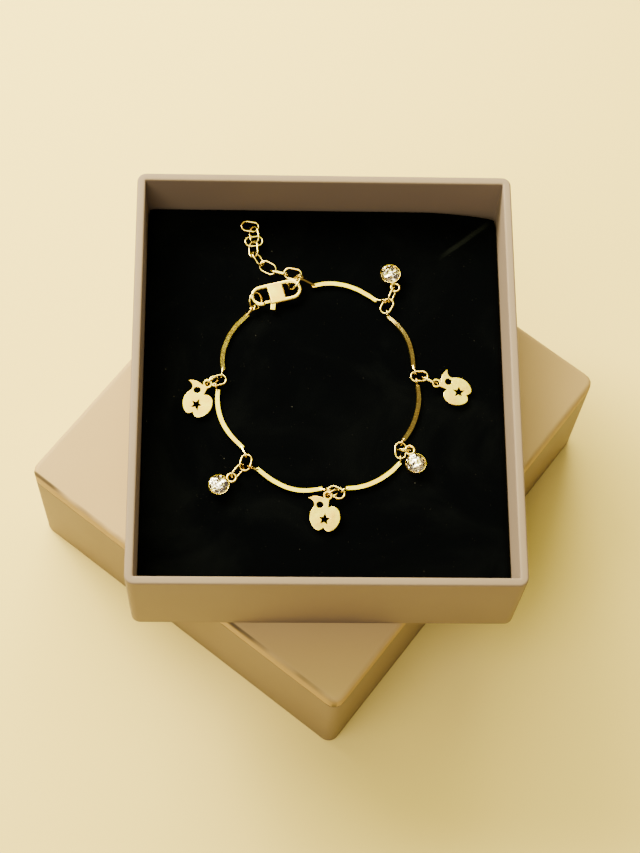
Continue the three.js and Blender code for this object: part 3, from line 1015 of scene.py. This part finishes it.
    def stone_piece(self, charm: Charm) -> Object:
        """Builds a round brilliant: table, crown, girdle and pavilion facets as the hull of their corners.

        Args:
            charm: The charm.

        Returns:
            The piece.
        """
        form = Form(f"stone_{charm.number}_brilliant")
        radius = self.cup_size / 2 - self.cup_wall - self.stone_gap
        half = self.girdle / 2
        rows = (
            (8, radius * self.table_share, half + self.crown, 0.0),
            (8, radius * 0.8, half + self.crown * 0.58, 22.5),
            (16, radius, half, 11.25),
            (16, radius, -half, 11.25),
            (8, radius * 0.62, -half - self.pavilion * 0.42, 0.0),
            (8, radius * 0.1, -half - self.pavilion * 0.97, 22.5),
        )
        for count, reach, height, turn in rows:
            place = Matrix.Translation((0, 0, height)) @ spun(turn, "Z")
            bmesh.ops.create_circle(form.mesh, segments=count, radius=reach, matrix=place)
        hull = bmesh.ops.convex_hull(form.mesh, input=form.mesh.verts[:])
        spare = only(BMVert, hull["geom_interior"] + hull["geom_unused"])
        bmesh.ops.delete(form.mesh, geom=list(set(spare)), context="VERTS")
        bmesh.ops.dissolve_limit(form.mesh, angle_limit=math.radians(1), verts=form.mesh.verts[:],
                                 edges=form.mesh.edges[:])
        bmesh.ops.recalc_face_normals(form.mesh, faces=form.mesh.faces[:])
        seat_height = self.cup_lift + self.cup_height - self.girdle
        return form.done(self.stone, self.pad @ self._hung(charm, self._drop_distance, seat_height), 1)

    def build(self, chain: Chain) -> Made:
        """Builds every charm and its ring.

        Args:
            chain: The loop, which makes the rings.

        Returns:
            Each piece with the node that it stands for.
        """
        made = [(self.apple_piece(charm), f"apple_charm_{charm.number}") for charm in APPLES]
        for charm in DROPS:
            made.append((self.setting_piece(charm), f"stone_setting_{charm.number}"))
            made.append((self.stone_piece(charm), f"stone_{charm.number}"))
        rings = [self.ring(charm) for charm in APPLES + DROPS]
        return made + [(chain.ring_piece(ring), ring.name) for ring in rings]


@dataclass
class Clasp:
    """The flat lobster clasp with its sprung lever."""

    pad: Matrix
    gold: Material
    place: Place = Place(-12.7, 28.3, 1.7, 15)
    length: float = 14.0
    width: float = 5.9
    thickness: float = 1.3
    rim: float = 1.0
    plate_start: float = -2.1
    plate_end: float = 2.2
    mouth: float = 1.8
    edge: float = 0.34
    slot_back: float = 0.6
    pin: float = 0.3
    pin_rise: float = 0.05
    lever_thickness: float = 0.55
    lever_edge: float = 0.12
    lever_gap: float = 0.16
    hub: float = 0.75
    arm_width: float = 0.8
    tab_width: float = 1.3
    tab_reach: float = 1.8
    tab_lean: float = 22.0
    pivot_x: float = -1.15
    pivot_inset: float = 0.9

    @property
    def pivot(self) -> Point:
        """The lever's pin in the clasp's own frame."""
        return self.pivot_x, -self.width / 2 + self.pivot_inset

    def body_mesh(self) -> Mesh:
        """The body: a hook with its mouth below, a plate and an eye.

        Returns:
            The mesh, in the clasp's own frame.
        """
        outer = self.width / 2
        inner = outer - self.rim
        end = self.length / 2 - outer
        lip = self.plate_start - self.mouth - 0.1
        start, stop = self.plate_start, self.plate_end
        points = [(start, -outer), *arc((end, 0), outer, -90, 90, 13), *arc((-end, 0), outer, 90, 270, 13)]
        lip_out = len(points)
        points += [(lip, -outer), (lip, -inner), *arc((-end, 0), inner, 270, 90, 11)]
        back = len(points)
        points += [(start, inner), (start, -inner * 0.2)]
        body = Line(tuple(points), frozenset({0, lip_out, lip_out + 1, back, back + 1}))
        eye = ((stop, -inner), *arc((end, 0), inner, -90, 90, 11), (stop, inner))
        window = Line(eye, frozenset({0, len(eye) - 1}))
        return flat_plate("clasp_plate", (body, window), self.thickness, self.edge, 5)

    def _slot(self) -> Mesh:
        """The block that cuts the lever's slot.

        Returns:
            The mesh, in the clasp's own frame.
        """
        low = Vector((self.plate_start - self.slot_back, -self.width / 2 - 1))
        high = Vector(self.pivot) + Vector((1, 1)) * (self.hub + 2 * self.lever_gap)
        size = Matrix.Diagonal((*(high - low), self.lever_thickness + 2 * self.lever_gap, 1))
        cutter = bmesh.new()
        bmesh.ops.create_cube(cutter, size=1, matrix=Matrix.Translation((*(low + high) / 2, 0)) @ size)
        mesh = bpy.data.meshes.new("lever_slot")
        cutter.to_mesh(mesh)
        cutter.free()
        return mesh

    def body_piece(self) -> Object:
        """Builds the clasp's body with the slot that its lever turns in.

        Returns:
            The piece.
        """
        body = add_object("clasp_work", self.body_mesh())
        slot = add_object("lever_slot", self._slot())
        cut = body.modifiers.new("slot", "BOOLEAN")
        cut.operation, cut.solver, cut.object = "DIFFERENCE", "EXACT", slot
        form = Form("clasp_body_polished")
        form.mesh.from_mesh(as_mesh(body))
        bpy.data.objects.remove(slot)
        reach = self.thickness / 2
        under, over = (Vector((*self.pivot, z)) for z in (-reach, reach + self.pin_rise))
        form.rod(under, over, self.pin, self.pin, 20)
        return form.done(self.gold, self.pad @ self.place.matrix(), 9)

    def lever_piece(self) -> Object:
        """Builds the lever: hub, arm across the mouth and thumb tab.

        Returns:
            The piece.
        """
        arm_end = self.plate_start - self.mouth + self.lever_gap - self.pivot_x
        half, wide = self.arm_width / 2, self.tab_width / 2
        tab_end = -self.pivot_inset - self.tab_reach
        lean = Matrix.Rotation(math.radians(-self.tab_lean), 2)
        tab = ((-wide, -0.7), (-wide, tab_end), (wide, tab_end), (wide, -0.55))
        points = [(-0.55, half), (arm_end, half), (arm_end, -half), *(tuple(lean @ Vector(p)) for p in tab)]
        corners = frozenset(range(len(points)))
        points += arc((0, 0), self.hub, -20, 120, 7)
        lines = (Line(tuple(points), corners), Line.circle((0, 0), self.pin + self.lever_gap, 10))
        form = Form("clasp_lever_polished")
        form.mesh.from_mesh(flat_plate("lever_plate", lines, self.lever_thickness, self.lever_edge, 4))
        place = self.place.matrix() @ Matrix.Translation((*self.pivot, 0))
        return form.done(self.gold, self.pad @ place, 9)


# The box.


@dataclass(frozen=True)
class Block:
    """A block of the box: its piece's name, its sizes and the radius of its upright corners."""

    name: str
    width: float
    depth: float
    height: float
    corner: float


@dataclass
class GiftBox:
    """The base with its velvet pad, and the padded lid under it."""

    card: Material
    # Paper of the lid top, a lighter copy of the card that paints in the light falling on it.
    lit_cover: Material
    velvet: Material
    base_width: float = 100.0
    base_depth: float = 114.7
    base_height: float = 33.0
    base_corner: float = 2.4
    wall: float = 2.2
    rim_edge: float = 0.55
    rest_gap: float = 0.3
    pad_drop: float = 14.5
    pad_corner: float = 1.0
    pad_roll: float = 1.6
    pad_swell: float = 0.16
    worn_edge: float = 2.0
    worn_from: Point = (25.0, 45.0)
    worn_run: float = 22.0
    lid_length: float = 117.5
    lid_width: float = 104.4
    lid_height: float = 44.0
    lid_turn: float = 52.0
    lid_corner: float = 3.0
    lid_pad: float = 5.0
    lid_roll: float = 1.3
    lid_swell: float = 0.22
    shift: Point = (1.3, 1.3)

    def box_frame(self, height: float) -> Matrix:
        """The base's frame at a height over its underside."""
        return Matrix.Translation((*self.shift, self.lid_height + self.rest_gap + height))

    def pad_frame(self) -> Matrix:
        """The frame that the bracelet lies in."""
        return self.box_frame(self.base_height - self.pad_drop)

    def lid_frame(self, height: float) -> Matrix:
        """The lid's turned frame at a height."""
        return spun(self.lid_turn, "Z") @ Matrix.Translation((0, 0, height))

    @staticmethod
    def _extrude(mesh: BMesh, faces: list, rise: float, keep: bool) -> list[BMFace]:
        """Extrudes faces upright.

        Args:
            mesh: The mesh.
            faces: The faces.
            rise: How far.
            keep: Whether the first faces stay too.

        Returns:
            The moved faces.
        """
        made = bmesh.ops.extrude_face_region(mesh, geom=faces, use_keep_orig=keep)["geom"]
        bmesh.ops.translate(mesh, vec=(0, 0, rise), verts=only(BMVert, made))
        return only(BMFace, made)

    @staticmethod
    def _rim(mesh: BMesh, height: float) -> list[BMEdge]:
        """The sharp edges at a height."""
        level = [edge for edge in mesh.edges if all(abs(v.co.z - height) < MERGE for v in edge.verts)]
        return [edge for edge in level if edge.calc_face_angle(0.0) > 1.0]

    def tray(self, block: Block) -> Form:
        """A covered tray, open on top, with soft edges.

        Args:
            block: Its outer sizes.

        Returns:
            The form, standing on z = 0.
        """
        form = Form(block.name)
        mesh = form.mesh
        size = Matrix.Diagonal((block.width, block.depth, 1, 1))
        bmesh.ops.create_grid(mesh, x_segments=1, y_segments=1, size=0.5, matrix=size)
        bmesh.ops.bevel(mesh, geom=mesh.verts[:], offset=block.corner, segments=6, profile=0.5,
                        affect="VERTICES")
        top = self._extrude(mesh, mesh.faces[:], block.height, True)
        bmesh.ops.inset_region(mesh, faces=top, thickness=self.wall, use_even_offset=True)
        self._extrude(mesh, top, self.wall - block.height, False)
        bmesh.ops.delete(mesh, geom=[face for face in top if face.is_valid], context="FACES_ONLY")
        bmesh.ops.recalc_face_normals(mesh, faces=mesh.faces[:])
        bmesh.ops.bevel(mesh, geom=self._rim(mesh, block.height), offset=self.rim_edge, segments=4,
                        profile=0.5, affect="EDGES")
        return form

    def cushion(self, block: Block, roll: float, cuts: int) -> Form:
        """A padded block: flat below, its upper edges rolled over.

        Args:
            block: Its outer sizes.
            roll: Radius of its upper edge.
            cuts: Subdivisions of its top.

        Returns:
            The form, standing on z = 0.
        """
        form = Form(block.name)
        mesh = form.mesh
        place = Matrix.Translation((0, 0, block.height)) @ Matrix.Diagonal((block.width, block.depth, 1, 1))
        bmesh.ops.create_grid(mesh, x_segments=cuts, y_segments=cuts, size=0.5, matrix=place)
        for vertex in mesh.verts:
            self._round_corner(vertex, block)
        self._extrude(mesh, mesh.faces[:], -block.height, True)
        bmesh.ops.recalc_face_normals(mesh, faces=mesh.faces[:])
        bmesh.ops.bevel(mesh, geom=self._rim(mesh, block.height), offset=roll, segments=7, profile=0.5,
                        affect="EDGES", clamp_overlap=False)
        return form

    @staticmethod
    def _round_corner(vertex: BMVert, block: Block) -> None:
        """Pulls a vertex that is outside a rounded corner back onto it.

        Args:
            vertex: The vertex.
            block: The block.
        """
        inner = Vector((block.width / 2 - block.corner, block.depth / 2 - block.corner))
        over = Vector((abs(vertex.co.x), abs(vertex.co.y))) - inner
        if over.x > 0 and over.y > 0 and over.length > block.corner:
            over *= block.corner / over.length
            vertex.co.x = math.copysign(inner.x + over.x, vertex.co.x)
            vertex.co.y = math.copysign(inner.y + over.y, vertex.co.y)

    @staticmethod
    def _sag(form: Form, above: float, pitch: float, octaves: int, seed: float, depth: float) -> None:
        """Lowers the top of a cushion by soft noise.

        Args:
            form: The cushion.
            above: Height from which its vertices move.
            pitch: Waves per millimetre.
            octaves: Of the noise.
            seed: Where the noise is cut.
            depth: How far, at most.
        """
        for vertex in form.mesh.verts:
            if vertex.co.z > above:
                swell = noise.fractal(Vector((vertex.co.x, vertex.co.y, seed)) * pitch, 1.0, 2.0, octaves)
                vertex.co.z -= depth * abs(swell)

    def base_piece(self) -> Object:
        """Builds the base's covered card tray."""
        sizes = (self.base_width, self.base_depth, self.base_height, self.base_corner)
        return self.tray(Block("box_base_covered", *sizes)).done(self.card, self.box_frame(0.0), 30)

    def pad_piece(self) -> Object:
        """Builds the velvet pad with its slightly uneven pile and its worn far right edge.

        Returns:
            The piece.
        """
        inset = 2 * (self.wall + self.rest_gap)
        wide, deep = self.base_width - inset, self.base_depth - inset
        high = self.base_height - self.pad_drop - self.wall - self.rest_gap
        form = self.cushion(Block("velvet_pad_soft", wide, deep, high, self.pad_corner), self.pad_roll, 60)
        for vertex in form.mesh.verts:
            past = vertex.co.x - self.worn_from[0]
            if past > 0 and vertex.co.y > self.worn_from[1]:
                vertex.co.y -= self.worn_edge * (past / self.worn_run) ** 2
        self._sag(form, high - 0.4, 0.07, 3, 3.0, self.pad_swell)
        return form.done(self.velvet, self.box_frame(self.wall + self.rest_gap), 80)

    def lid_shell_piece(self) -> Object:
        """Builds the lid's walls, which stand open side down.

        Returns:
            The piece.
        """
        high = self.lid_height - self.lid_pad - self.rest_gap
        block = Block("lid_shell_covered", self.lid_length, self.lid_width, high, self.lid_corner)
        return self.tray(block).done(self.card, self.lid_frame(high) @ spun(180, "X"), 30)

    def lid_top_piece(self) -> Object:
        """Builds the lid's padded top, with its rolled edge and a few shallow creases.

        Returns:
            The piece.
        """
        block = Block("lid_top_soft", self.lid_length, self.lid_width, self.lid_pad, self.lid_corner)
        form = self.cushion(block, self.lid_roll, 56)
        self._sag(form, self.lid_pad - self.lid_roll * 0.9, 0.035, 2, 9.0, self.lid_swell)
        return form.done(self.lit_cover, self.lid_frame(self.lid_height - self.lid_pad), 80)


# The studio.


@dataclass(frozen=True)
class SoftLight:
    """An area light: where it is, what it points at, its size, power and colour."""

    name: str
    at: tuple[float, float, float]
    to: tuple[float, float, float]
    size: float
    power: float
    colour: Colour = (1.0, 0.9, 0.62)

    def place(self) -> None:
        """Adds the light to the scene."""
        data = bpy.data.lights.new(self.name, "AREA")
        data.shape = "DISK"
        data.size = self.size
        data.energy = self.power
        data.color = self.colour
        lamp = add_object(self.name, data)
        lamp.location = self.at
        lamp.rotation_euler = (Vector(self.to) - Vector(self.at)).to_track_quat("-Z", "Y").to_euler()


# A broad window on the left, softer lights behind, and the ceiling that the flat gold mirrors.
LIGHTS = (
    SoftLight("window", (-0.62, 0.52, 0.66), (-0.12, 0.2, 0.0), 0.5, 22.0),
    SoftLight("corner", (-0.22, 0.33, 0.42), (-0.05, 0.1, 0), 0.3, 4.6),
    SoftLight("behind", (0.05, 0.55, 0.4), (0, 0.15, 0), 0.35, 5.1),
    SoftLight("ceiling", (-0.15, 0.36, 1.0), (0, 0, 0.06), 0.96, 9.0, (1.0, 0.95, 0.08)),
    SoftLight("overhead", (-0.33, -0.42, 1.1), (0, 0, 0), 0.8, 12.5),
)


@dataclass
class Studio:
    """The pale surface, the lights and the camera."""

    floor: Material
    floor_half: float = 1.6
    camera_at: tuple[float, float, float] = (-0.0170, -0.19975, 0.53803)
    yaw: float = 5.14
    pitch: float = 67.96
    roll: float = 5.25
    lens: float = 82.6
    sensor: float = 36.0
    ambient: Colour = (1.0, 0.77, 0.64)
    ambient_strength: float = 0.22

    def build(self) -> None:
        """Adds the floor, the lights, the ambient light and the camera."""
        ground = bmesh.new()
        bmesh.ops.create_grid(ground, x_segments=1, y_segments=1, size=self.floor_half)
        mesh = bpy.data.meshes.new("pale_floor")
        ground.to_mesh(mesh)
        ground.free()
        mesh.materials.append(self.floor)
        floor = add_object("pale_floor", mesh)
        for light in LIGHTS:
            light.place()
        world = bpy.data.worlds.new("soft_room")
        world.use_nodes = True
        sky = world.node_tree.nodes["Background"]
        sky.inputs["Color"].default_value = (*self.ambient, 1.0)
        sky.inputs["Strength"].default_value = self.ambient_strength
        bpy.context.scene.world = world
        self._camera()

    def _camera(self) -> None:
        """Adds the camera at the photograph's angle."""
        yaw, pitch, roll = (math.radians(v) for v in (self.yaw, self.pitch, self.roll))
        ahead = Vector((math.sin(yaw) * math.cos(pitch), math.cos(yaw) * math.cos(pitch), -math.sin(pitch)))
        right = Vector((math.cos(yaw), -math.sin(yaw), 0))
        up = right.cross(ahead)
        across = right * math.cos(roll) + up * math.sin(roll)
        above = up * math.cos(roll) - right * math.sin(roll)
        turn = Matrix((across, above, -ahead)).transposed().to_4x4()
        data = bpy.data.cameras.new("camera")
        data.lens = self.lens
        data.sensor_width = self.sensor
        data.clip_start = 0.01
        camera = add_object("camera", data)
        camera.matrix_world = Matrix.Translation(self.camera_at) @ turn
        bpy.context.scene.camera = camera


def seat(piece: Object, node: str, body: str) -> None:
    """Makes a piece stand for its node and ride on its body.

    Args:
        piece: The piece.
        node: The node that it replaces.
        body: The body.
    """
    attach(piece, body)
    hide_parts(node)
    LOG.info("%s stands for %s", piece.name, node)


def main() -> None:
    """Builds the pieces in order."""
    logging.basicConfig(level=logging.INFO, format="%(name)s: %(message)s")
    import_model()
    gold = PolishedGold().material()
    crystal = CutStone().material()
    velvet = BlackVelvet().material()
    card = CoveredCard().material()
    # The lid top's paper is a lighter copy of the card: painted light where light falls on the lid top.
    # The line at 0.0581 m is painted shade along one end of the padded top, where it meets the lid's side.
    lit_cover = CoveredCard(name="lit_padded_cover", light=(0.44, 0.31, 0.145), deep=(0.42, 0.292, 0.133),
                        joint_shade_at=0.0581).material()
    Studio(PaperFloor().material()).build()

    box = GiftBox(card, lit_cover, velvet)
    seat(box.base_piece(), "box_base", BOX_BODY)
    seat(box.lid_shell_piece(), "lid_shell", BOX_BODY)
    pad = box.pad_piece()
    seat(pad, "velvet_pad", BOX_BODY)
    lid_top = box.lid_top_piece()
    seat(lid_top, "lid_top_pad", BOX_BODY)

    frame = box.pad_frame()
    chain = Chain(frame, gold)
    for piece, node in chain.build():
        seat(piece, node, BOX_BODY)
    for piece, node in Charms(frame, gold, crystal).build(chain):
        seat(piece, node, BOX_BODY)
    clasp = Clasp(frame, gold)
    seat(clasp.body_piece(), "clasp_body", BOX_BODY)
    seat(clasp.lever_piece(), "clasp_lever", LEVER_BODY)


if __name__ == "__main__":
    main()
